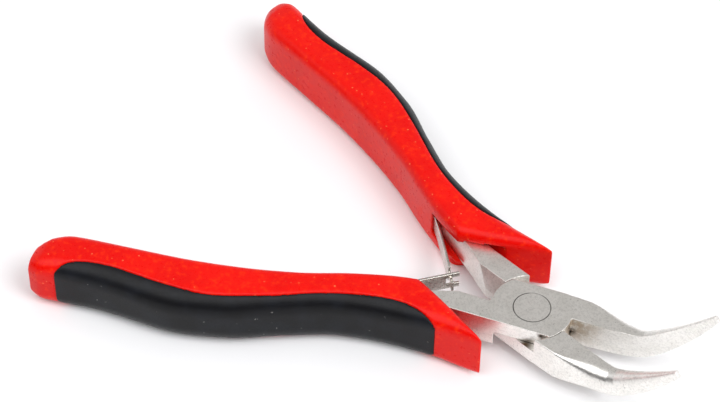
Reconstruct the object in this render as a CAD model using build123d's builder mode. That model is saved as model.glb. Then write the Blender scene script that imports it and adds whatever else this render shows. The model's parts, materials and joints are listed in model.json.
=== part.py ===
from build123d import *

import copy
import os
from math import atan2, cos, hypot, radians, sin

# Spring-loaded bent-nose pliers, resting open on their grips.
#
# Every piece is drawn in the frame of its own half with the tool closed: jaw along +X on the +Y
# side, handle along -X on the -Y side, pivot on Z. Half A is then turned open by OPEN_ANGLE. Half B
# is the same half mirrored in the XZ plane and turned open the other way, its lap on the lower layer.
# The finished tool is moved so that the origin is under the middle of its outline, on the table.

# Overall
OPEN_ANGLE = 12.1
GRIP_THICK = 12.6
JOINT_THICK = 6.9
MID_Z = GRIP_THICK / 2
JOINT_TOP = MID_Z + JOINT_THICK / 2
JOINT_BOTTOM = MID_Z - JOINT_THICK / 2

# Lap joint and pivot rivet
LAP_RADIUS = 7.9
LAP_GAP = 0.1
LAYER_GAP = 0.06
HALF_WIDTH = 5.7
RIVET_SHANK_R = 2.2
RIVET_HEAD_R = 3.6
RIVET_HEAD_DEPTH = 1.4
RIVET_SEAT_GAP = 0.05

# Jaw: distance from the pivot, rise of the middle, tilt, taper of the thickness and of the width
# (1 at the joint, 0 at the tip), roundness of the outer corners (1 is a half circle)
TIP_THICK = 1.4
TIP_WIDTH = 0.95
JAW_SECTIONS = (
    (5.2, 0, 0, 1.0, 1.0, 0.07),
    (10.5, 0, 0, 1.0, 0.958, 0.1),
    (14.0, 0.05, 0, 0.964, 0.842, 0.42),
    (17.5, 0.2, 2, 0.927, 0.684, 0.77),
    (20.5, 0.65, 12, 0.855, 0.537, 0.85),
    (23.3, 1.9, 30, 0.727, 0.421, 0.89),
    (27.9, 6.1, 44, 0.509, 0.263, 0.88),
    (32.0, 10.65, 44, 0.273, 0.116, 0.86),
    (35.1, 14.7, 44, 0, 0, 0.71),
)
JAW_FACE_GAP = 0.05
TRIM = 0.5
TOOTH_PITCH = 0.7
TOOTH_COUNT = 11
TOOTH_DEPTH = 0.14
TOOTH_TIP_SETBACK = 1.2

# Tang, from the lap to its end inside the grip. Above DRAFT_START its gap side leans in by DRAFT.
DRAFT = 0.8
DRAFT_START = MID_Z - 1.3
TANG_ROOT_Y = -0.3
TANG_INNER = (
    (-LAP_RADIUS, TANG_ROOT_Y),
    (-12.2, TANG_ROOT_Y),
    (-15.0, -1.25),
    (-17.0, -2.05),
    (-20.0, -3.0),
    (-33.0, -7.0),
    (-44.0, -11.2),
    (-56.0, -14.4),
    (-70.0, -16.8),
)
TANG_OUTER = (
    (0, -HALF_WIDTH),
    (-15.0, -HALF_WIDTH),
    (-24.0, -6.3),
    (-33.0, -10.0),
    (-44.0, -14.2),
    (-69.5, -19.6),
)

# Grip: station along X, inner edge, outer edge, how far it is inset top and bottom, corner radii
GRIP_RINGS = (
    (-3.0, -1.0, -13.1, 0, 2.0, 2.4),
    (-10.0, -1.0, -12.5, 0, 2.0, 2.6),
    (-17.0, -1.7, -12.1, 0, 2.0, 3.2),
    (-25.0, -2.9, -12.6, 0, 2.0, 3.8),
    (-34.0, -5.4, -14.1, 0, 2.0, 4.0),
    (-44.0, -9.0, -18.1, 0, 2.0, 4.2),
    (-55.0, -11.8, -23.0, 0, 2.0, 4.4),
    (-67.0, -13.8, -25.3, 0, 2.0, 4.4),
    (-79.0, -14.9, -24.9, 0, 2.2, 4.0),
    (-88.0, -15.7, -25.6, 0, 2.6, 3.4),
    (-92.0, -17.2, -26.2, 0.5, 2.8, 3.0),
    (-94.2, -19.6, -25.6, 1.7, 2.4, 2.4),
)
FLAT_CUT = 0.1
INSERT_STEP = 0.15
CLEAR_INSIDE = 4.0
CLEAR_OUTSIDE = -40.0
END_FACE = (
    (-4.6, -13.6),
    (-6.8, -11.6),
    (-11.0, -8.9),
    (-15.5, -6.0),
    (-19.4, -3.7),
    (-21.2, -2.7),
    (-23.6, -1.4),
)
PARTING = (
    (-13.6, -13.0),
    (-18.5, -10.5),
    (-23.5, -9.7),
    (-30.0, -10.5),
    (-38.0, -12.9),
    (-48.0, -17.4),
    (-58.0, -21.0),
    (-67.0, -21.7),
    (-79.0, -21.4),
    (-86.0, -23.1),
    (-89.6, -27.0),
)
TANG_FIT = 0.04
MOUTH = ((-8.0, -7.3), (-26.0, -7.6), (-26.0, -5.0), (-8.0, -5.0))
MOUTH_LIP = 0.35
LOWER_LIP = ((-12.0, -8.2), (-21.7, -4.9), (-25.0, -1.5), (-25.0, 2.0), (-10.0, 2.0))
WINDOW = ((-20.0, -0.5), (-30.4, -3.2), (-30.4, -6.1), (-24.5, -4.8), (-20.0, -3.6))
WINDOW_HEIGHT = 5.8

# Leaf springs: a root riveted along the tang, and a blade that crosses to the middle of the gap
LEAF_WIDTH = 4.0
LEAF_THICK = 0.5
LEAF_ROOT = ((-41.0, -9.6), (-33.4, -6.5), (-27.6, -3.35))
CROSSING_REACH = 18.0
LEAF_CROSSING = (-CROSSING_REACH * cos(radians(OPEN_ANGLE)), CROSSING_REACH * sin(radians(OPEN_ANGLE)))
LEAF_CLEAR = 0.18
PRONG_REACH = 1.7
SLOT_BACK = 1.0
SLOT_WIDTH = 1.8
TONGUE_WIDTH = 1.4
SHOULDER_BACK = 1.6
HEAD_START = 1.2
HEAD_REACH = 1.9
HEAD_WIDTH = 3.0
ROOT_SPACE = 0.2
SPRING_RIVET_R = 0.9
SPRING_RIVET_LENGTH = 2.8
SPRING_RIVET_BACK = 4.0


def slab(points, z_low, z_high):
    """A straight-sided block over a polygon."""
    with BuildPart() as block:
        with BuildSketch(Plane.XY.offset(z_low)):
            with BuildLine():
                Polyline(*points, close=True)
            make_face()
        extrude(amount=z_high - z_low)
    return block.part


def rounded_outline(left, right, low, high, r_left, r_right):
    """A rectangle drawn from the same corner with the same edges every time, so that lofts stay true."""
    with BuildLine() as outline:
        Line((left, low + r_left), (left, high - r_left))
        if r_left:
            TangentArc((left, high - r_left), (left + r_left, high), tangent=(0, 1))
        Line((left + r_left, high), (right - r_right, high))
        TangentArc((right - r_right, high), (right, high - r_right), tangent=(1, 0))
        Line((right, high - r_right), (right, low + r_right))
        TangentArc((right, low + r_right), (right - r_right, low), tangent=(0, -1))
        Line((right - r_right, low), (left + r_left, low))
        if r_left:
            TangentArc((left + r_left, low), (left, low + r_left), tangent=(-1, 0))
    return outline.wire()


def refined(stations):
    """The same stations with smooth ones added halfway between each two."""
    rows = [stations[0]]
    for index in range(len(stations) - 1):
        before = stations[max(index - 1, 0)]
        start, end = stations[index], stations[index + 1]
        after = stations[min(index + 2, len(stations) - 1)]
        middle = [(9 * (b + c) - a - d) / 16 for a, b, c, d in zip(before, start, end, after)]
        rows.append([min(max(m, min(b, c)), max(b, c)) for m, b, c in zip(middle, start, end)])
        rows.append(end)
    return rows


def jaw_solid():
    """The bent nose: flat on its gripping side and ever rounder outside."""
    with BuildPart() as nose:
        for x, rise, tilt, thick, wide, roundness in refined(JAW_SECTIONS):
            along = (cos(radians(tilt)), 0, sin(radians(tilt)))
            half_height = (TIP_THICK + (JOINT_THICK - TIP_THICK) * thick) / 2
            width = TIP_WIDTH + (HALF_WIDTH - TIP_WIDTH) * wide
            outline = rounded_outline(-TRIM, width, -half_height, half_height, 0, roundness * half_height)
            with BuildSketch(Plane(origin=(x, 0, MID_Z + rise), x_dir=(0, 1, 0), z_dir=along)):
                make_face(outline.edges())
        loft(ruled=True)
        split(bisect_by=Plane.XZ.offset(-JAW_FACE_GAP), keep=Keep.BOTTOM)
    return nose.part


def tooth_cutter():
    """Fine grooves across the gripping face near the tip."""
    tip_x, tip_rise, tilt = JAW_SECTIONS[-1][:3]
    back = (-cos(radians(tilt)), -sin(radians(tilt)))
    with BuildPart() as teeth:
        for index in range(TOOTH_COUNT):
            run = TOOTH_TIP_SETBACK + index * TOOTH_PITCH
            centre = (tip_x + back[0] * run, JAW_FACE_GAP, MID_Z + tip_rise + back[1] * run)
            across = Plane(origin=centre, x_dir=(back[0], 0, back[1]), z_dir=(back[1], 0, -back[0]))
            with BuildSketch(across):
                with Locations(Rotation(0, 0, 45)):
                    Rectangle(TOOTH_DEPTH * 2**0.5, TOOTH_DEPTH * 2**0.5)
            extrude(amount=JOINT_THICK, both=True)
    return teeth.part


def forging(lap_on_top):
    """One steel half: tang, half-thickness lap and jaw."""
    lap_low, lap_high = (MID_Z, JOINT_TOP) if lap_on_top else (JOINT_BOTTOM, MID_Z)
    cut_low = JOINT_BOTTOM if lap_on_top else MID_Z - LAYER_GAP / 2
    cut_high = MID_Z + LAYER_GAP / 2 if lap_on_top else JOINT_TOP
    head_z = JOINT_TOP if lap_on_top else JOINT_BOTTOM
    shank_gap = 0 if lap_on_top else RIVET_SEAT_GAP
    with BuildPart() as half:
        with BuildSketch(Plane.XY.offset(lap_low)) as lap:
            Circle(LAP_RADIUS)
            Rectangle(4 * LAP_RADIUS, 2 * HALF_WIDTH, mode=Mode.INTERSECT)
        extrude(amount=lap_high - lap_low)
        with BuildSketch(Plane.XY.offset(JOINT_BOTTOM)):
            with BuildLine():
                Polyline(*TANG_OUTER, *TANG_INNER[::-1], (0, TANG_ROOT_Y), close=True)
            make_face()
        extrude(amount=JOINT_THICK)
        with BuildSketch(Plane.YZ.offset(-LAP_RADIUS - LAP_GAP)):
            with BuildLine():
                leaning = (TANG_ROOT_Y, DRAFT_START), (TANG_ROOT_Y - DRAFT, JOINT_TOP)
                Polyline(*leaning, (0, JOINT_TOP), (0, DRAFT_START), close=True)
            make_face()
        extrude(amount=-2 * LAP_RADIUS, mode=Mode.SUBTRACT)
        add(jaw_solid())
        with BuildSketch(Plane.XY.offset(cut_low)):
            Circle(LAP_RADIUS + LAP_GAP)
        extrude(amount=cut_high - cut_low, mode=Mode.SUBTRACT)
        add(tooth_cutter(), mode=Mode.SUBTRACT)
        with BuildSketch(Plane.XY.offset(JOINT_BOTTOM)):
            Circle(RIVET_SHANK_R + shank_gap)
        extrude(amount=JOINT_THICK, mode=Mode.SUBTRACT)
        seat_r = RIVET_HEAD_R + RIVET_SEAT_GAP
        with BuildSketch(Plane.XY.offset(head_z)):
            Circle(seat_r)
        depth = -RIVET_HEAD_DEPTH if lap_on_top else RIVET_HEAD_DEPTH
        with BuildSketch(Plane.XY.offset(head_z + depth)):
            Circle(RIVET_SHANK_R + shank_gap)
        loft(mode=Mode.SUBTRACT)
    return half.part


def grip_blank(step):
    """The whole grip outside, with its palm side set back by a step."""
    with BuildPart() as blank:
        for x, y_in, y_out, shrink, r_in, r_out in refined(GRIP_RINGS):
            low = shrink - FLAT_CUT
            outline = rounded_outline(-y_in, -y_out - step, low, GRIP_THICK - low, r_in, r_out)
            with BuildSketch(Plane(origin=(x, 0, 0), x_dir=(0, -1, 0), z_dir=(-1, 0, 0))):
                make_face(outline.edges())
        loft(ruled=True)
        with BuildSketch():
            with BuildLine():
                Spline(*END_FACE)
                (palm_x, _), (gap_x, _) = END_FACE[0], END_FACE[-1]
                inner_corners = (gap_x, CLEAR_INSIDE), (0, CLEAR_INSIDE)
                outer_corners = (0, CLEAR_OUTSIDE), (palm_x, CLEAR_OUTSIDE)
                Polyline(END_FACE[-1], *inner_corners, *outer_corners, END_FACE[0])
            make_face()
        extrude(amount=GRIP_THICK, mode=Mode.SUBTRACT)
        split(bisect_by=Plane.XY, keep=Keep.TOP)
        split(bisect_by=Plane.XY.offset(GRIP_THICK), keep=Keep.BOTTOM)
    return blank.part


def insert_zone():
    """Everything outside the parting line."""
    with BuildPart() as zone:
        with BuildSketch():
            with BuildLine():
                Spline(*PARTING)
                outer_corners = (PARTING[-1][0], CLEAR_OUTSIDE), (PARTING[0][0], CLEAR_OUTSIDE)
                Polyline(PARTING[-1], *outer_corners, PARTING[0])
            make_face()
        extrude(amount=GRIP_THICK)
    return zone.part


def moved_left(points, distance):
    """Points moved sideways, to the left of the way the line runs."""
    moved = []
    for index, (x, y) in enumerate(points):
        before = points[max(index - 1, 0)]
        after = points[min(index + 1, len(points) - 1)]
        length = hypot(after[0] - before[0], after[1] - before[1])
        side = (before[1] - after[1]) / length, (after[0] - before[0]) / length
        moved.append((x + side[0] * distance, y + side[1] * distance))
    return moved


def strip(points, left, right, height):
    """A band of even thickness along a line, centred on the middle height."""
    edge = moved_left(points, left) + moved_left(points, -right)[::-1]
    return slab(edge, MID_Z - height / 2, MID_Z + height / 2)


def spring_rivet():
    """A flush rivet through the leaf's root and into the tang."""
    (x0, y0), (x1, y1) = LEAF_ROOT[:2]
    run = hypot(x1 - x0, y1 - y0)
    ahead = ((x1 - x0) / run, (y1 - y0) / run)
    centre = (x0 + ahead[0] * SPRING_RIVET_BACK, y0 + ahead[1] * SPRING_RIVET_BACK)
    start = (centre[0] - ahead[1] * LEAF_THICK / 2, centre[1] + ahead[0] * LEAF_THICK / 2, MID_Z)
    with BuildPart() as pin:
        with BuildSketch(Plane(origin=start, x_dir=(0, 0, 1), z_dir=(ahead[1], -ahead[0], 0))):
            Circle(SPRING_RIVET_R)
        extrude(amount=SPRING_RIVET_LENGTH)
    return pin.part


def leaf_root():
    """The part of the leaf spring that lies along the tang inside the grip."""
    with BuildPart() as root:
        add(strip(LEAF_ROOT, LEAF_THICK / 2, LEAF_THICK / 2, LEAF_WIDTH))
        add(spring_rivet(), mode=Mode.SUBTRACT)
    return root.part


def leaf_plane():
    """The upright plane of the blade, starting where it bends."""
    x, y = LEAF_ROOT[-1]
    angle = atan2(LEAF_CROSSING[1] - y, LEAF_CROSSING[0] - x)
    return Plane(origin=(x, y, MID_Z), x_dir=(cos(angle), sin(angle), 0), z_dir=(sin(angle), -cos(angle), 0))


def leaf_blade(forked):
    """The free part of the leaf spring, ending in a fork or in a headed tongue."""
    reach = hypot(LEAF_CROSSING[0] - LEAF_ROOT[-1][0], LEAF_CROSSING[1] - LEAF_ROOT[-1][1])
    with BuildPart() as blade:
        with BuildSketch(leaf_plane()):
            if forked:
                bars = ((LEAF_CLEAR, reach + PRONG_REACH, LEAF_WIDTH),)
            else:
                bars = (
                    (LEAF_CLEAR, reach - SHOULDER_BACK, LEAF_WIDTH),
                    (LEAF_CLEAR, reach + HEAD_REACH, TONGUE_WIDTH),
                    (reach + HEAD_START, reach + HEAD_REACH, HEAD_WIDTH),
                )
            for start, end, width in bars:
                with Locations(((start + end) / 2, 0)):
                    Rectangle(end - start, width)
            if forked:
                with Locations((reach - SLOT_BACK + LEAF_WIDTH, 0)):
                    Rectangle(LEAF_WIDTH * 2, SLOT_WIDTH, mode=Mode.SUBTRACT)
        extrude(amount=LEAF_THICK / 2, both=True)
    return blade.part


def grip_shell():
    """The hard grip with its socket, the hollow at its mouth and the window for the leaf."""
    tang_low, tang_high = JOINT_BOTTOM - TANG_FIT, JOINT_TOP + TANG_FIT
    socket = moved_left(TANG_OUTER, TANG_FIT) + moved_left(TANG_INNER[::-1], TANG_FIT)
    with BuildPart() as shell:
        add(grip_blank(INSERT_STEP))
        add(insert_zone(), mode=Mode.SUBTRACT)
        add(slab(socket, tang_low, tang_high), mode=Mode.SUBTRACT)
        add(slab(MOUTH, tang_low - MOUTH_LIP, tang_high + MOUTH_LIP), mode=Mode.SUBTRACT)
        add(slab(LOWER_LIP, 0, tang_low), mode=Mode.SUBTRACT)
        add(slab(WINDOW, MID_Z - WINDOW_HEIGHT / 2, MID_Z + WINDOW_HEIGHT / 2), mode=Mode.SUBTRACT)
        room = strip(LEAF_ROOT, LEAF_THICK / 2 + ROOT_SPACE, LEAF_THICK, LEAF_WIDTH + ROOT_SPACE)
        add(room, mode=Mode.SUBTRACT)
    return shell.part


def soft_insert():
    """The soft pad on the palm side."""
    with BuildPart() as pad:
        add(grip_blank(0))
        add(insert_zone(), mode=Mode.INTERSECT)
    return pad.part


def pivot_rivet():
    """The flush rivet, with a countersunk head in each half."""
    with BuildPart() as pin:
        with BuildSketch(Plane.XY.offset(JOINT_BOTTOM)):
            Circle(RIVET_SHANK_R)
        extrude(amount=JOINT_THICK)
        for face_z, inward in ((JOINT_TOP, -RIVET_HEAD_DEPTH), (JOINT_BOTTOM, RIVET_HEAD_DEPTH)):
            with BuildSketch(Plane.XY.offset(face_z)):
                Circle(RIVET_HEAD_R)
            with BuildSketch(Plane.XY.offset(face_z + inward)):
                Circle(RIVET_SHANK_R)
            loft()
    return pin.part


def drilled_forging(lap_on_top):
    """A steel half with the hole for its spring rivet."""
    with BuildPart() as half:
        add(forging(lap_on_top))
        add(spring_rivet(), mode=Mode.SUBTRACT)
    return half.part


def opened(piece, side):
    """A piece of half A or B turned to the open rest position."""
    placed = piece if side > 0 else mirror(piece, about=Plane.XZ)
    return placed.moved(Rotation(0, 0, side * OPEN_ANGLE))


shell = grip_shell()
pad = soft_insert()
root = leaf_root()
pin = spring_rivet()
pieces = {"pivot_rivet": opened(pivot_rivet(), 1)}
for tag, side in (("a", 1), ("b", -1)):
    pieces[f"forging_{tag}"] = opened(drilled_forging(side > 0), side)
    pieces[f"grip_shell_{tag}"] = opened(shell, side)
    pieces[f"soft_insert_{tag}"] = opened(pad, side)
    pieces[f"leaf_root_{tag}"] = opened(root, side)
    pieces[f"leaf_blade_{tag}"] = opened(leaf_blade(side > 0), side)
    pieces[f"spring_rivet_{tag}"] = opened(pin, side)

box = Compound(children=[copy.copy(piece) for piece in pieces.values()]).bounding_box()
to_origin = Pos(-(box.min.X + box.max.X) / 2, 0, -box.min.Z)
os.makedirs("parts", exist_ok=True)
for name, piece in pieces.items():
    part = piece.moved(to_origin)
    part.label = name
    export_step(part, f"parts/{name}.step")
print("pivot x", to_origin.position.X)
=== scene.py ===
"""Looks of the spring-loaded bent-nose pliers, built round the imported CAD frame."""

import json
import math

import bmesh
import bpy
from mathutils import Matrix, Vector


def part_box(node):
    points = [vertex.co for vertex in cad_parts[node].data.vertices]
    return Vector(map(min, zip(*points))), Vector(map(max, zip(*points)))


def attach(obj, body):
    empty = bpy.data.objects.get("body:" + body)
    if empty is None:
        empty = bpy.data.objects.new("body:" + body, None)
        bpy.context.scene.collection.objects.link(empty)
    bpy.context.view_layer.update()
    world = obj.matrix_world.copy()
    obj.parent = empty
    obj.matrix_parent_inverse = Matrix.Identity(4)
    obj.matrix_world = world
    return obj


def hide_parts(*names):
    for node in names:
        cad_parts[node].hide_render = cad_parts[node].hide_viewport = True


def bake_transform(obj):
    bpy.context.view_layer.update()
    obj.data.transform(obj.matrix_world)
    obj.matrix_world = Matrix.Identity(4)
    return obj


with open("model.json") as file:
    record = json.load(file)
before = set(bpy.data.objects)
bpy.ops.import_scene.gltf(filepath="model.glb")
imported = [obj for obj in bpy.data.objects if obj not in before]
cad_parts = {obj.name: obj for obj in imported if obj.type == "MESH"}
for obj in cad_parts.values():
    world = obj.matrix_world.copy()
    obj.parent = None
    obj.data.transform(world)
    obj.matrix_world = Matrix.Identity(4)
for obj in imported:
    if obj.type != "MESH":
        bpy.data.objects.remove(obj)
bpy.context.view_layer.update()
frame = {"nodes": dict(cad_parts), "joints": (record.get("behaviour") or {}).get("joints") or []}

# ---------------------------------------------------------------- the frame's own numbers
PIVOT_JOINT = next(joint for joint in frame["joints"] if joint["name"] == "pivot")
PIVOT_X = PIVOT_JOINT["pos_m"][0]
OPEN_ANGLE = math.radians(PIVOT_JOINT["range_deg"][1] / 2)
MID_Z = PIVOT_JOINT["pos_m"][2] * 1000
GRIP_THICK = (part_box("grip_shell_a")[1].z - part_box("grip_shell_a")[0].z) * 1000
JOINT_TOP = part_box("pivot_rivet")[1].z * 1000
JOINT_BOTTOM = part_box("pivot_rivet")[0].z * 1000
RIVET_RADIUS = (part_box("pivot_rivet")[1].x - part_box("pivot_rivet")[0].x) * 500

# One half is drawn in millimetres with the tool closed and the pivot at the origin: its handle
# runs along -X on the -Y side. HALF_A turns it open and moves it into the shared frame.
HALF_A = (
    Matrix.Translation((PIVOT_X, 0, 0))
    @ Matrix.Rotation(OPEN_ANGLE, 4, "Z")
    @ Matrix.Scale(0.001, 4)
)
MIRROR = Matrix.Diagonal((1, -1, 1, 1))

# ---------------------------------------------------------------- sizes, in millimetres
# Grip: station along X, inner edge, outer edge, inset top and bottom, corner radii
GRIP_RINGS = (
    (-3.0, -1.0, -13.1, 0, 2.0, 2.4),
    (-10.0, -1.0, -12.5, 0, 2.0, 2.6),
    (-17.0, -1.7, -12.1, 0, 2.0, 3.2),
    (-25.0, -2.9, -12.6, 0, 2.0, 3.8),
    (-34.0, -5.4, -14.1, 0, 2.0, 4.0),
    (-44.0, -9.0, -18.1, 0, 2.0, 4.2),
    (-55.0, -11.8, -23.0, 0, 2.0, 4.4),
    (-67.0, -13.8, -25.3, 0, 2.0, 4.4),
    (-79.0, -14.9, -24.9, 0, 2.2, 4.0),
    (-88.0, -15.7, -25.6, 0, 2.6, 3.4),
    (-92.0, -17.2, -26.2, 0.5, 2.8, 3.0),
    (-94.2, -19.6, -25.6, 1.7, 2.4, 2.4),
)
END_FACE = (
    (-4.6, -13.6),
    (-6.8, -11.6),
    (-11.0, -8.9),
    (-15.5, -6.0),
    (-19.4, -3.7),
    (-21.2, -2.7),
    (-23.6, -1.4),
)
PARTING = (
    (-13.6, -13.0),
    (-18.5, -10.5),
    (-23.5, -9.7),
    (-30.0, -10.5),
    (-38.0, -12.9),
    (-48.0, -17.4),
    (-58.0, -21.0),
    (-67.0, -21.7),
    (-79.0, -21.4),
    (-86.0, -23.1),
    (-89.6, -27.0),
)
INSERT_STEP = 0.15
CLEAR_INSIDE = 4.0
CLEAR_OUTSIDE = -40.0
END_ROLL = 2.2
SOCKET = (
    (2.0, -5.75),
    (-15.0, -5.75),
    (-24.0, -6.35),
    (-33.0, -10.05),
    (-44.0, -14.25),
    (-69.5, -19.65),
    (-70.0, -16.75),
    (-56.0, -14.35),
    (-44.0, -11.15),
    (-33.0, -6.95),
    (-20.0, -2.95),
    (-17.0, -2.0),
    (-12.2, -0.25),
    (2.0, -0.25),
)
SOCKET_ROOM = 0.04
MOUTH = ((-8.0, -7.3), (-26.0, -7.6), (-26.0, -5.0), (-8.0, -5.0))
MOUTH_ROOM = 0.39
NOSE_CUT = ((-4.92, -8.91), (-7.2, -16.54), (-1.44, -18.24), (0.83, -10.64))
LOWER_LIP = ((-12.0, -8.2), (-21.7, -4.9), (-25.0, -1.5), (-25.0, 2.0), (-10.0, 2.0))
WINDOW = ((-20.0, -0.5), (-30.4, -3.2), (-30.4, -6.1), (-24.5, -4.8), (-20.0, -3.6))
WINDOW_HEIGHT = 5.8

LEAF_WIDTH = 4.0
LEAF_THICK = 0.5
LEAF_ROOT = ((-41.0, -9.6), (-33.4, -6.5), (-27.6, -3.35))
CROSSING_REACH = 18.0
PRONG_REACH = 1.7
SLOT_BACK = 1.0
SLOT_WIDTH = 1.8
TONGUE_WIDTH = 1.4
SHOULDER_BACK = 1.6
HEAD_START = 1.2
HEAD_REACH = 1.8
HEAD_WIDTH = 2.4
# A leaf is drawn straight on past the crossing. BEND_HALF sets two points on either side of its
# hinge, which are worked out but not used further.
PAST_CROSSING = 4.0
BEND_HALF = 1.3
LEAF_STEP = 0.4
LEAF_EDGE = 0.09

# Voxel, rounds of relaxing and share of faces kept. The forgings are in metres.
SHELL_SOFTENING = (0.2, 14, 0.5)
PAD_SOFTENING = (0.2, 10, 0.6)
FORGING_SOFTENING = (0.0001, 3, 0.3)
RIVET_EDGE = 0.00012

# Places on the steel, in millimetres in the shared frame
RIVET_SEAM = (PIVOT_X * 1000, RIVET_RADIUS, 0.14)
STAIN_SPOT = tuple(HALF_A @ Vector((8.6, 0.1, 8.0)) * 1000)
# Darkening painted into the steel: the corner beside the lap, partly stain and partly painted
# shade; the lap crevice and the ledge of the lower lap, painted shade.
STAIN_AND_SHADE_CORNER = tuple(HALF_A @ Vector((8.0, 0.0, 6.2)) * 1000)
LAP_CREVICE_SHADE_SPOT = tuple(HALF_A @ Vector((3.6, -5.7, 9.2)) * 1000)
LEDGE_SHADE_SPOT = tuple(MIRROR @ HALF_A @ Vector((3.5, 5.4, 6.27)) * 1000)


# ---------------------------------------------------------------- mesh helpers
def smooth_rows(rows, step):
    """Rows between the given ones, along the first column, by a cubic that never overshoots."""
    order = sorted(rows)
    xs = [row[0] for row in order]
    count = len(order)
    slopes = []
    for column in range(1, len(order[0])):
        secants = []
        for i in range(count - 1):
            rise = order[i + 1][column] - order[i][column]
            secants.append(rise / (xs[i + 1] - xs[i]))
        tangents = [secants[0]]
        for before, after in zip(secants, secants[1:]):
            tangents.append(0 if before * after <= 0 else 2 * before * after / (before + after))
        tangents.append(secants[-1])
        slopes.append(tangents)
    made = []
    for i in range(count - 1):
        width = xs[i + 1] - xs[i]
        pieces = max(1, round(width / step))
        for piece in range(pieces):
            t = piece / pieces
            row = [xs[i] + t * width]
            for column, tangents in enumerate(slopes, 1):
                p, q = order[i][column], order[i + 1][column]
                m, n = tangents[i] * width, tangents[i + 1] * width
                row.append(
                    (2 * t**3 - 3 * t**2 + 1) * p
                    + (t**3 - 2 * t**2 + t) * m
                    + (3 * t**2 - 2 * t**3) * q
                    + (t**3 - t**2) * n
                )
            made.append(row)
    made.append(list(order[-1]))
    return made


def smooth_line(points, pieces=10):
    """A smooth line through the points."""
    made = []
    for i in range(len(points) - 1):
        a = Vector(points[max(i - 1, 0)])
        b, c = Vector(points[i]), Vector(points[i + 1])
        d = Vector(points[min(i + 2, len(points) - 1)])
        for piece in range(pieces):
            t = piece / pieces
            spot = b * 2 + (c - a) * t
            spot += (a * 2 - b * 5 + c * 4 - d) * t**2
            spot += (b * 3 - a - c * 3 + d) * t**3
            made.append(tuple(spot / 2))
    made.append(tuple(points[-1]))
    return made


def new_piece(name, vertices, faces):
    """A mesh object from plain lists, with its faces turned outwards and no loose vertices."""
    mesh = bpy.data.meshes.new(name)
    mesh.from_pydata(vertices, [], faces)
    work = bmesh.new()
    work.from_mesh(mesh)
    bmesh.ops.delete(work, geom=[v for v in work.verts if not v.link_faces], context="VERTS")
    bmesh.ops.recalc_face_normals(work, faces=work.faces)
    work.to_mesh(mesh)
    work.free()
    piece = bpy.data.objects.new(name, mesh)
    bpy.context.scene.collection.objects.link(piece)
    return piece


def apply_modifiers(piece):
    """The mesh that the modifiers give becomes the piece's own."""
    graph = bpy.context.evaluated_depsgraph_get()
    mesh = bpy.data.meshes.new_from_object(piece.evaluated_get(graph))
    piece.modifiers.clear()
    old = piece.data
    piece.data = mesh
    bpy.data.meshes.remove(old)
    return piece


def combine(piece, other, operation):
    """piece joined with, cut by or kept inside another, which is then removed."""
    modifier = piece.modifiers.new("combine", "BOOLEAN")
    modifier.object = other
    modifier.operation = operation
    modifier.solver = "EXACT"
    apply_modifiers(piece)
    bpy.data.objects.remove(other)
    return piece


def prism(outline, low, high, name="cutter"):
    """An upright block over an outline."""
    count = len(outline)
    vertices = [(x, y, low) for x, y in outline] + [(x, y, high) for x, y in outline]
    faces = [tuple(reversed(range(count))), tuple(range(count, 2 * count))]
    for i in range(count):
        j = (i + 1) % count
        faces.append((i, j, count + j, count + i))
    return new_piece(name, vertices, faces)


def skin(name, rings):
    """A closed surface over rings of equally many points, with its ends capped."""
    count = len(rings[0])
    vertices = [spot for ring in rings for spot in ring]
    faces = [tuple(range(count)), tuple(reversed(range(len(vertices) - count, len(vertices))))]
    for row in range(len(rings) - 1):
        start = row * count
        for i in range(count):
            j = (i + 1) % count
            faces.append((start + i, start + count + i, start + count + j, start + j))
    return new_piece(name, vertices, faces)


def soften(piece, voxel, rounds, keep):
    """Rounds the edges: an even fine mesh, relaxed, then thinned out."""
    remesh = piece.modifiers.new("even", "REMESH")
    remesh.mode = "VOXEL"
    remesh.voxel_size = voxel
    relax = piece.modifiers.new("relax", "SMOOTH")
    relax.factor = 0.5
    relax.iterations = rounds
    thin = piece.modifiers.new("thin", "DECIMATE")
    thin.ratio = keep


def round_edges(piece, width, sharper_than):
    """Rounds the edges that turn by more than an angle in degrees."""
    bevel = piece.modifiers.new("rounded", "BEVEL")
    bevel.width = width
    bevel.segments = 2
    bevel.limit_method = "ANGLE"
    bevel.angle_limit = math.radians(sharper_than)


def shade_smooth(piece):
    for polygon in piece.data.polygons:
        polygon.use_smooth = True
    return piece


# ---------------------------------------------------------------- grips
def grip_ring(x, y_in, y_out, inset, r_in, r_out):
    """A rounded upright rectangle at one station."""
    low, high = inset, GRIP_THICK - inset
    corners = (
        (y_in - r_in, high - r_in, r_in, 0),
        (y_out + r_out, high - r_out, r_out, 90),
        (y_out + r_out, low + r_out, r_out, 180),
        (y_in - r_in, low + r_in, r_in, 270),
    )
    arc_pieces, flat_pieces = 10, 6
    ring = []
    for index, (y, z, radius, start) in enumerate(corners):
        for piece in range(arc_pieces + 1):
            angle = math.radians(start + 90 * piece / arc_pieces)
            ring.append((y + radius * math.cos(angle), z + radius * math.sin(angle)))
        next_y, next_z, next_radius, next_start = corners[(index + 1) % 4]
        angle = math.radians(next_start)
        target = (next_y + next_radius * math.cos(angle), next_z + next_radius * math.sin(angle))
        y0, z0 = ring[-1]
        for piece in range(1, flat_pieces):
            t = piece / flat_pieces
            ring.append((y0 + (target[0] - y0) * t, z0 + (target[1] - z0) * t))
    return [(x, y, z) for y, z in ring]


def moved_left(points, distance):
    """Points moved sideways, to the left of the way the line runs."""
    moved = []
    for index, (x, y) in enumerate(points):
        before = points[max(index - 1, 0)]
        after = points[min(index + 1, len(points) - 1)]
        length = math.hypot(after[0] - before[0], after[1] - before[1])
        left_x, left_y = (before[1] - after[1]) / length, (after[0] - before[0]) / length
        moved.append((x + left_x * distance, y + left_y * distance))
    return moved


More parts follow.
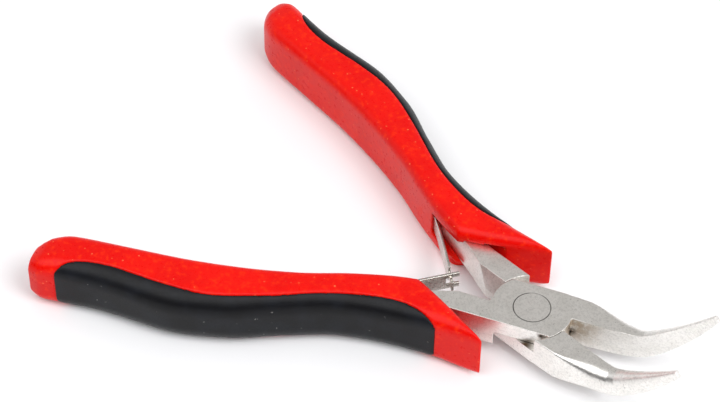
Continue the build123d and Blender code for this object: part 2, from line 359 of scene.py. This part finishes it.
def end_cutter():
    """What is in front of a grip. Its end face rolls over into the top and the bottom."""
    line = smooth_line(END_FACE)
    steps = 8
    angles = [math.radians(90 * step / steps) for step in range(steps + 1)]
    lower = [END_ROLL * (1 - math.cos(angle)) for angle in angles]
    levels = [-1.0] + lower + [GRIP_THICK - z for z in reversed(lower)] + [GRIP_THICK + 1.0]
    rings = []
    for z in levels:
        short = END_ROLL - min(END_ROLL, max(0.0, min(z, GRIP_THICK - z)))
        back = END_ROLL - math.sqrt(END_ROLL**2 - short**2)
        edge = moved_left(line, back)
        front = [
            (edge[-1][0], CLEAR_INSIDE),
            (2, CLEAR_INSIDE),
            (2, CLEAR_OUTSIDE),
            (edge[0][0], CLEAR_OUTSIDE),
        ]
        rings.append([(x, y, z) for x, y in edge + front])
    return skin("cutter", rings)


def grip_blank(step):
    """The whole outside of a grip, palm side set back by a step, cut at its front."""
    rings = []
    for x, y_in, y_out, inset, r_in, r_out in smooth_rows(GRIP_RINGS, 1.0):
        rings.append(grip_ring(x, y_in, y_out + step, inset, r_in, r_out))
    blank = skin("grip", rings)
    combine(blank, prism(NOSE_CUT, -1, GRIP_THICK + 1), "DIFFERENCE")
    return combine(blank, end_cutter(), "DIFFERENCE")


def insert_zone():
    """Everything on the palm side of the parting line."""
    line = smooth_line(PARTING)
    beyond = [(line[-1][0], CLEAR_OUTSIDE), (line[0][0], CLEAR_OUTSIDE)]
    return prism(line + beyond, -1, GRIP_THICK + 1)


def make_shell():
    """The hard grip with its socket, mouth and window."""
    shell = grip_blank(INSERT_STEP)
    combine(shell, insert_zone(), "DIFFERENCE")
    socket = prism(SOCKET, JOINT_BOTTOM - SOCKET_ROOM, JOINT_TOP + SOCKET_ROOM)
    combine(shell, socket, "DIFFERENCE")
    combine(shell, prism(MOUTH, JOINT_BOTTOM - MOUTH_ROOM, JOINT_TOP + MOUTH_ROOM), "DIFFERENCE")
    combine(shell, prism(LOWER_LIP, -1, JOINT_BOTTOM - SOCKET_ROOM), "DIFFERENCE")
    window = prism(WINDOW, MID_Z - WINDOW_HEIGHT / 2, MID_Z + WINDOW_HEIGHT / 2)
    return combine(shell, window, "DIFFERENCE")


def make_pad():
    """The soft pad on the palm side."""
    return combine(grip_blank(0), insert_zone(), "INTERSECT")


def in_both_halves(piece, names, softening):
    """A finished piece of half A in the shared frame, and its mirror image for half B."""
    soften(piece, *softening)
    apply_modifiers(piece)
    piece.data.transform(HALF_A)
    piece.name = names[0]
    twin = bpy.data.objects.new(names[1], piece.data.copy())
    bpy.context.scene.collection.objects.link(twin)
    twin.data.transform(MIRROR)
    twin.data.flip_normals()
    return shade_smooth(piece), shade_smooth(twin)


# ---------------------------------------------------------------- leaf springs
def along_path(points, distance):
    """The place and the direction at a distance along a line."""
    for (x0, y0), (x1, y1) in zip(points, points[1:]):
        run = math.hypot(x1 - x0, y1 - y0)
        if distance <= run or (x1, y1) == points[-1]:
            ahead = ((x1 - x0) / run, (y1 - y0) / run)
            return (x0 + ahead[0] * distance, y0 + ahead[1] * distance), ahead
        distance -= run


def make_leaf(name, forked):
    """A strip bent where it leaves the handle, ending in a fork or in a headed tongue."""
    crossing = (-CROSSING_REACH * math.cos(OPEN_ANGLE), CROSSING_REACH * math.sin(OPEN_ANGLE))
    root = LEAF_ROOT[-1]
    reach = math.hypot(crossing[0] - root[0], crossing[1] - root[1])
    ahead = ((crossing[0] - root[0]) / reach, (crossing[1] - root[1]) / reach)
    drawn = reach + PAST_CROSSING
    tip = (root[0] + ahead[0] * drawn, root[1] + ahead[1] * drawn)
    path = smooth_line((*LEAF_ROOT, tip), 16)
    length = sum(math.hypot(b[0] - a[0], b[1] - a[1]) for a, b in zip(path, path[1:]))
    start = length - reach - PAST_CROSSING
    middle = start + reach
    # Each bar: from and to along the strip, lower and upper edge
    if forked:
        bars = (
            (0, middle - SLOT_BACK, -LEAF_WIDTH / 2, LEAF_WIDTH / 2),
            (0, middle + PRONG_REACH, SLOT_WIDTH / 2, LEAF_WIDTH / 2),
            (0, middle + PRONG_REACH, -LEAF_WIDTH / 2, -SLOT_WIDTH / 2),
        )
    else:
        bars = (
            (0, middle - SHOULDER_BACK, -LEAF_WIDTH / 2, LEAF_WIDTH / 2),
            (0, middle + HEAD_REACH, -TONGUE_WIDTH / 2, TONGUE_WIDTH / 2),
            (middle + HEAD_START, middle + HEAD_REACH, -HEAD_WIDTH / 2, HEAD_WIDTH / 2),
        )
    ends = sorted({end for bar in bars for end in bar[:2]})
    stations = []
    for low, high in zip(ends, ends[1:]):
        pieces = max(1, round((high - low) / LEAF_STEP))
        stations += [low + (high - low) * piece / pieces for piece in range(pieces)]
    stations.append(ends[-1])
    heights = sorted({edge for bar in bars for edge in bar[2:]})

    def inside(column, row):
        if not (0 <= column < len(stations) - 1 and 0 <= row < len(heights) - 1):
            return False
        s = (stations[column] + stations[column + 1]) / 2
        z = (heights[row] + heights[row + 1]) / 2
        return any(bar[0] < s < bar[1] and bar[2] < z < bar[3] for bar in bars)

    vertices = []
    for s in stations:
        (x, y), (dx, dy) = along_path(path, s)
        for z in heights:
            for side in (0.5, -0.5):
                vertices.append((x - dy * LEAF_THICK * side, y + dx * LEAF_THICK * side, MID_Z + z))

    def corner(column, row, side):
        return (column * len(heights) + row) * 2 + side

    faces = []
    for column in range(len(stations) - 1):
        for row in range(len(heights) - 1):
            if not inside(column, row):
                continue
            square = ((column, row), (column + 1, row), (column + 1, row + 1), (column, row + 1))
            faces.append(tuple(corner(*spot, 1) for spot in square))
            faces.append(tuple(corner(*spot, 0) for spot in reversed(square)))
            neighbours = (
                (column, row - 1),
                (column + 1, row),
                (column, row + 1),
                (column - 1, row),
            )
            for index, beside in enumerate(neighbours):
                if inside(*beside):
                    continue
                first, second = square[index], square[(index + 1) % 4]
                rim = ((second, 1), (first, 1), (first, 0), (second, 0))
                faces.append(tuple(corner(*spot, side) for spot, side in rim))
    leaf = new_piece(name, vertices, faces)
    round_edges(leaf, LEAF_EDGE, 50)
    apply_modifiers(leaf)
    bend_start, _ = along_path(path, start - BEND_HALF)
    bend_end, _ = along_path(path, start + BEND_HALF)
    return leaf, (*bend_start, MID_Z), (*bend_end, MID_Z)


# ---------------------------------------------------------------- materials
class Nodes:
    """A short way to write node trees. Lengths in the textures are in millimetres."""

    def __init__(self, name):
        self.material = bpy.data.materials.new(name)
        self.material.use_nodes = True
        self.tree = self.material.node_tree
        self.shader = self.tree.nodes["Principled BSDF"]
        coordinates = self.tree.nodes.new("ShaderNodeTexCoord")
        scale = self.tree.nodes.new("ShaderNodeMapping")
        scale.inputs["Scale"].default_value = (1000, 1000, 1000)
        self.link(coordinates.outputs["Object"], scale.inputs["Vector"])
        self.place = scale.outputs["Vector"]
        self.bumps = None

    def link(self, start, end):
        self.tree.links.new(start, end)

    def noise(self, scale, detail=3.0, roughness=0.5, stretch=(1, 1, 1), turn=0.0):
        mapping = self.tree.nodes.new("ShaderNodeMapping")
        mapping.inputs["Scale"].default_value = stretch
        mapping.inputs["Rotation"].default_value = (0, 0, turn)
        self.link(self.place, mapping.inputs["Vector"])
        node = self.tree.nodes.new("ShaderNodeTexNoise")
        node.inputs["Scale"].default_value = scale
        node.inputs["Detail"].default_value = detail
        node.inputs["Roughness"].default_value = roughness
        self.link(mapping.outputs["Vector"], node.inputs["Vector"])
        return node.outputs["Fac"]

    def spots(self, scale, size):
        """1 in small round spots, 0 elsewhere."""
        node = self.tree.nodes.new("ShaderNodeTexVoronoi")
        node.inputs["Scale"].default_value = scale
        self.link(self.place, node.inputs["Vector"])
        return self.ramp(node.outputs["Distance"], size * 0.6, size, 1, 0)

    def ramp(self, value, low, high, at_low=0.0, at_high=1.0):
        node = self.tree.nodes.new("ShaderNodeMapRange")
        node.interpolation_type = "SMOOTHSTEP"
        self.link(value, node.inputs["Value"])
        node.inputs["From Min"].default_value = low
        node.inputs["From Max"].default_value = high
        node.inputs["To Min"].default_value = at_low
        node.inputs["To Max"].default_value = at_high
        return node.outputs["Result"]

    def math(self, operation, a, b=None):
        node = self.tree.nodes.new("ShaderNodeMath")
        node.operation = operation
        for socket, value in zip(node.inputs, (a, b)):
            if value is None:
                continue
            if isinstance(value, (int, float)):
                socket.default_value = value
            else:
                self.link(value, socket)
        return node.outputs["Value"]

    def mix(self, factor, a, b):
        node = self.tree.nodes.new("ShaderNodeMix")
        node.data_type = "RGBA"
        self.link(factor, node.inputs["Factor"])
        for socket, value in ((node.inputs["A"], a), (node.inputs["B"], b)):
            if isinstance(value, tuple):
                socket.default_value = (*value, 1)
            else:
                self.link(value, socket)
        return node.outputs["Result"]

    def axis(self, name):
        node = self.tree.nodes.new("ShaderNodeSeparateXYZ")
        self.link(self.place, node.inputs["Vector"])
        return node.outputs[name]

    def near(self, spot, reach):
        """1 at a spot, in millimetres in the shared frame, fading to 0 at its reach."""
        node = self.tree.nodes.new("ShaderNodeVectorMath")
        node.operation = "DISTANCE"
        self.link(self.place, node.inputs[0])
        node.inputs[1].default_value = spot
        return self.ramp(node.outputs["Value"], 0, reach, 1, 0)

    def round_seam(self, centre_x, radius, width):
        """1 on an upright tube round (centre_x, 0), fading to 0 at a distance from it."""
        parts = self.tree.nodes.new("ShaderNodeSeparateXYZ")
        self.link(self.place, parts.inputs["Vector"])
        x = self.math("SUBTRACT", parts.outputs["X"], centre_x)
        y = parts.outputs["Y"]
        square = self.math("ADD", self.math("MULTIPLY", x, x), self.math("MULTIPLY", y, y))
        off = self.math("ABSOLUTE", self.math("SUBTRACT", self.math("SQRT", square), radius))
        return self.ramp(off, width * 0.4, width, 1, 0)

    def bump(self, height, distance_mm, strength):
        node = self.tree.nodes.new("ShaderNodeBump")
        node.inputs["Strength"].default_value = strength
        node.inputs["Distance"].default_value = distance_mm * 0.001
        self.link(height, node.inputs["Height"])
        if self.bumps is not None:
            self.link(self.bumps, node.inputs["Normal"])
        self.bumps = node.outputs["Normal"]
        self.link(self.bumps, self.shader.inputs["Normal"])

    def colour(self, socket):
        self.link(socket, self.shader.inputs["Base Color"])

    def rough(self, socket):
        self.link(socket, self.shader.inputs["Roughness"])

    def set(self, **values):
        for name, value in values.items():
            self.shader.inputs[name.replace("_", " ")].default_value = value


SEAM_DIRT = (0.05, 0.045, 0.04)
STAIN = (0.42, 0.3, 0.17)
# Dark stain colour, also used as painted shade in the corner beside the lap, the lap crevice and on
# the ledge.
DARK_STAIN_AND_SHADE = (0.05, 0.03, 0.015)
PIT = (0.2, 0.18, 0.16)


def stains_and_shade(n, tone):
    """A stain on the gripping face, a few pits, and painted shade: the corner beside the lap (there
    partly stain), the lap crevice and the ledge of the lower lap are darkened.
    """
    below_top = n.ramp(n.axis("Z"), JOINT_TOP - 0.4, JOINT_TOP - 0.1, 1, 0)
    stain = n.math("MULTIPLY", n.near(STAIN_SPOT, 7.0), n.ramp(n.noise(0.8, 4, 0.6), 0.25, 0.55))
    stain = n.math("MULTIPLY", stain, below_top)
    tone = n.mix(n.math("MULTIPLY", stain, 0.75), tone, STAIN)
    # Painted shade: the corner beside the lap (there partly stain) and the lap crevice are darkened
    # in colour.
    corner = n.math("MULTIPLY", n.near(STAIN_AND_SHADE_CORNER, 1.6), n.ramp(n.noise(1.6, 3), 0.3, 0.5))
    corner = n.math("MAXIMUM", corner, n.near(LAP_CREVICE_SHADE_SPOT, 1.1))
    corner = n.math("MULTIPLY", corner, below_top)
    # Painted shade on the exposed ledge of the lower lap.
    above_ledge = n.ramp(n.axis("Z"), MID_Z - 0.2, MID_Z - 0.1, 0, 1)
    ledge_shade = n.math("MULTIPLY", n.near(LEDGE_SHADE_SPOT, 3.4), above_ledge)
    ledge_shade = n.math("MULTIPLY", ledge_shade, n.ramp(n.axis("Z"), MID_Z + 0.02, MID_Z + 0.1, 1, 0))
    tone = n.mix(n.math("MAXIMUM", corner, ledge_shade), tone, DARK_STAIN_AND_SHADE)
    pits = n.math("MULTIPLY", n.spots(1.4, 0.22), n.ramp(n.noise(0.5, 2), 0.5, 0.62))
    return n.mix(n.math("MULTIPLY", pits, 0.4), tone, PIT)


def steel_material(name, light, dark, rough, seam=None, worn_and_shaded=False):
    """Steel with fine grain and faint blotches. It can have dirt in a round seam, and stains with
    painted shade beside the lap.
    """
    n = Nodes(name)
    n.set(Metallic=1.0)
    blotch = n.noise(0.35, 4)
    grain = n.noise(2.2, 4, 0.75)
    tone = n.mix(n.ramp(blotch, 0.35, 0.68), light, dark)
    tone = n.mix(n.ramp(grain, 0.42, 0.68, 0, 0.5), tone, tuple(c * 0.62 for c in dark))
    if seam:
        patchy = n.ramp(blotch, 0.3, 0.6, 0.55, 1)
        tone = n.mix(n.math("MULTIPLY", n.round_seam(*seam), patchy), tone, SEAM_DIRT)
    if worn_and_shaded:
        tone = stains_and_shade(n, tone)
    n.colour(tone)
    scratches = n.noise(1.2, 2, 0.6, stretch=(0.35, 6, 1), turn=0.5)
    uneven = n.math("ADD", n.math("MULTIPLY", grain, 0.16), n.math("MULTIPLY", scratches, 0.12))
    n.rough(n.math("ADD", uneven, rough - 0.14))
    n.bump(grain, 0.03, 0.5)
    n.bump(scratches, 0.02, 0.2)
    return n.material


def plastic_material():
    """Red moulded plastic: mottled orange-red, fine orange peel, a few scuffs."""
    n = Nodes("red_plastic")
    cloud = n.noise(0.12, 3)
    mottle = n.noise(0.9, 4, 0.65)
    tone = n.mix(n.ramp(cloud, 0.35, 0.65), (0.7, 0.002, 0.0006), (0.76, 0.004, 0.0008))
    tone = n.mix(n.ramp(mottle, 0.5, 0.72, 0, 0.6), tone, (0.88, 0.035, 0.001))
    flecks = n.math("MULTIPLY", n.spots(0.6, 0.14), n.ramp(n.noise(2.5, 2), 0.45, 0.6))
    tone = n.mix(n.math("MULTIPLY", flecks, 0.5), tone, (0.95, 0.3, 0.12))
    n.colour(tone)
    n.rough(n.ramp(mottle, 0.3, 0.75, 0.26, 0.4))
    n.bump(mottle, 0.07, 0.35)
    n.bump(n.noise(6, 2), 0.015, 0.2)
    n.set(Specular_IOR_Level=0.18)
    return n.material


def rubber_material():
    """Black soft moulding: satin, finely pitted, with pale scuffs."""
    n = Nodes("black_rubber")
    cloud = n.noise(0.25, 3)
    pits = n.noise(3.0, 3, 0.65)
    tone = n.mix(n.ramp(cloud, 0.35, 0.7), (0.002, 0.002, 0.003), (0.005, 0.006, 0.009))
    scuffs = n.math("MULTIPLY", n.spots(0.4, 0.12), n.ramp(pits, 0.5, 0.62))
    tone = n.mix(n.math("MULTIPLY", scuffs, 0.5), tone, (0.35, 0.34, 0.33))
    n.colour(tone)
    n.rough(n.ramp(pits, 0.3, 0.75, 0.34, 0.5))
    n.bump(pits, 0.05, 0.3)
    n.set(Specular_IOR_Level=0.24)
    return n.material


STEEL = steel_material(
    "satin_steel", (0.92, 0.9, 0.865), (0.85, 0.83, 0.79), 0.32, seam=RIVET_SEAM, worn_and_shaded=True
)
RIVET = steel_material(
    "rivet_steel", (0.89, 0.87, 0.835), (0.83, 0.81, 0.775), 0.34, seam=RIVET_SEAM
)
SPRING = steel_material("spring_steel", (0.7, 0.67, 0.63), (0.55, 0.52, 0.48), 0.26)
PLASTIC = plastic_material()
RUBBER = rubber_material()


def dress(piece, material):
    piece.data.materials.clear()
    piece.data.materials.append(material)
    return piece


# ---------------------------------------------------------------- pieces
shells = in_both_halves(make_shell(), ("grip_a", "grip_b"), SHELL_SOFTENING)
pads = in_both_halves(make_pad(), ("pad_a", "pad_b"), PAD_SOFTENING)
for tag, shell, pad in zip("ab", shells, pads):
    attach(shell, f"half_{tag}")
    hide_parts(f"grip_shell_{tag}")
    dress(shell, PLASTIC)
    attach(pad, f"half_{tag}")
    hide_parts(f"soft_insert_{tag}")
    dress(pad, RUBBER)

for tag, to_frame in (("a", HALF_A), ("b", MIRROR @ HALF_A)):
    leaf, bend_start, bend_end = make_leaf(f"leaf_spring_{tag}", tag == "a")
    leaf.data.transform(to_frame)
    if tag == "b":
        leaf.data.flip_normals()
    bend_start, bend_end = to_frame @ Vector(bend_start), to_frame @ Vector(bend_end)
    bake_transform(leaf)
    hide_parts(f"leaf_root_{tag}", f"leaf_blade_{tag}")
    dress(shade_smooth(leaf), SPRING)

for tag in "ab":
    soften(dress(frame["nodes"][f"forging_{tag}"], STEEL), *FORGING_SOFTENING)
round_edges(dress(frame["nodes"]["pivot_rivet"], RIVET), RIVET_EDGE, 40)
for tag in "ab":
    dress(frame["nodes"][f"spring_rivet_{tag}"], RIVET)


# ---------------------------------------------------------------- stage, lights and camera
FLOOR_REACH = 3.0
CARD_DIRECTION = (-0.36, 0.573, 0.736)
SKY = (1.08, 1.08, 1.1, 1)
GREY_CARD = (0.535, 0.525, 0.515, 1)
DARK_ROOM = (0.02, 0.02, 0.022, 1)
CAMERA_TARGET = (-0.0205, 0.0128, 0)
CAMERA_DISTANCE = 0.5019
CAMERA_AZIMUTH = math.radians(32.13)
CAMERA_ELEVATION = math.radians(47.43)
CAMERA_ROLL = math.radians(0.77)


def make_floor():
    n = Nodes("pale_floor")
    n.colour(n.mix(n.ramp(n.noise(0.02, 3), 0.3, 0.7), (0.9, 0.9, 0.91), (0.87, 0.87, 0.88)))
    n.set(Roughness=0.6)
    far = FLOOR_REACH
    corners = [(-far, -far, 0), (far, -far, 0), (far, far, 0), (-far, far, 0)]
    floor = new_piece("floor", corners, [(0, 1, 2, 3)])
    dress(floor, n.material)


def make_world():
    """A bright studio with a grey card overhead and a dark room low on the camera's side."""
    world = bpy.data.worlds.new("studio")
    world.use_nodes = True
    bpy.context.scene.world = world
    tree = world.node_tree

    def node(kind, **values):
        made = tree.nodes.new(kind)
        for name, value in values.items():
            setattr(made, name, value)
        return made

    def fade(value, low, high, at_low, at_high):
        made = node("ShaderNodeMapRange", interpolation_type="SMOOTHSTEP")
        tree.links.new(value, made.inputs["Value"])
        made.inputs["From Min"].default_value = low
        made.inputs["From Max"].default_value = high
        made.inputs["To Min"].default_value = at_low
        made.inputs["To Max"].default_value = at_high
        return made.outputs["Result"]

    def product(a, b):
        made = node("ShaderNodeMath", operation="MULTIPLY")
        tree.links.new(a, made.inputs[0])
        tree.links.new(b, made.inputs[1])
        return made.outputs["Value"]

    def blend(factor, a, b):
        made = node("ShaderNodeMix", data_type="RGBA")
        tree.links.new(factor, made.inputs["Factor"])
        if isinstance(a, tuple):
            made.inputs["A"].default_value = a
        else:
            tree.links.new(a, made.inputs["A"])
        made.inputs["B"].default_value = b
        return made.outputs["Result"]

    direction = tree.nodes.new("ShaderNodeTexCoord").outputs["Generated"]
    parts = tree.nodes.new("ShaderNodeSeparateXYZ")
    tree.links.new(direction, parts.inputs["Vector"])
    card = node("ShaderNodeVectorMath", operation="DOT_PRODUCT")
    tree.links.new(direction, card.inputs[0])
    card.inputs[1].default_value = CARD_DIRECTION
    on_card = fade(card.outputs["Value"], 0.35, 0.94, 0, 1)
    low_down = fade(parts.outputs["Z"], 0.5, 0.68, 1, 0)
    towards_camera = fade(parts.outputs["Y"], -0.62, -0.3, 1, 0)
    sky = blend(on_card, SKY, GREY_CARD)
    sky = blend(product(low_down, towards_camera), sky, DARK_ROOM)
    background = tree.nodes["Background"]
    background.inputs["Strength"].default_value = 1.0
    tree.links.new(sky, background.inputs["Color"])


def area_light(name, place, size, power):
    """A round soft light that points at the origin."""
    light = bpy.data.lights.new(name, "AREA")
    light.shape = "DISK"
    light.size = size
    light.energy = power
    lamp = bpy.data.objects.new(name, light)
    lamp.location = place
    lamp.rotation_euler = (-Vector(place)).to_track_quat("-Z", "Y").to_euler()
    bpy.context.scene.collection.objects.link(lamp)


def make_camera():
    target = Vector(CAMERA_TARGET)
    level = math.cos(CAMERA_ELEVATION)
    back = Vector(
        (
            math.sin(CAMERA_AZIMUTH) * level,
            -math.cos(CAMERA_AZIMUTH) * level,
            math.sin(CAMERA_ELEVATION),
        )
    )
    data = bpy.data.cameras.new("camera")
    data.sensor_width = 36
    data.lens = 123.3
    data.clip_start = 0.01
    data.clip_end = 20
    camera = bpy.data.objects.new("camera", data)
    camera.location = target + back * CAMERA_DISTANCE
    turn = (-back).to_track_quat("-Z", "Y").to_matrix() @ Matrix.Rotation(CAMERA_ROLL, 3, "Z")
    camera.rotation_euler = turn.to_euler()
    bpy.context.scene.collection.objects.link(camera)
    bpy.context.scene.camera = camera


make_floor()
make_world()
area_light("key", (0.62, -0.1, 0.78), 0.6, 5)
area_light("fill", (-0.12, -0.52, 0.8), 0.9, 3)
make_camera()
bpy.context.scene.view_settings.view_transform = "Standard"
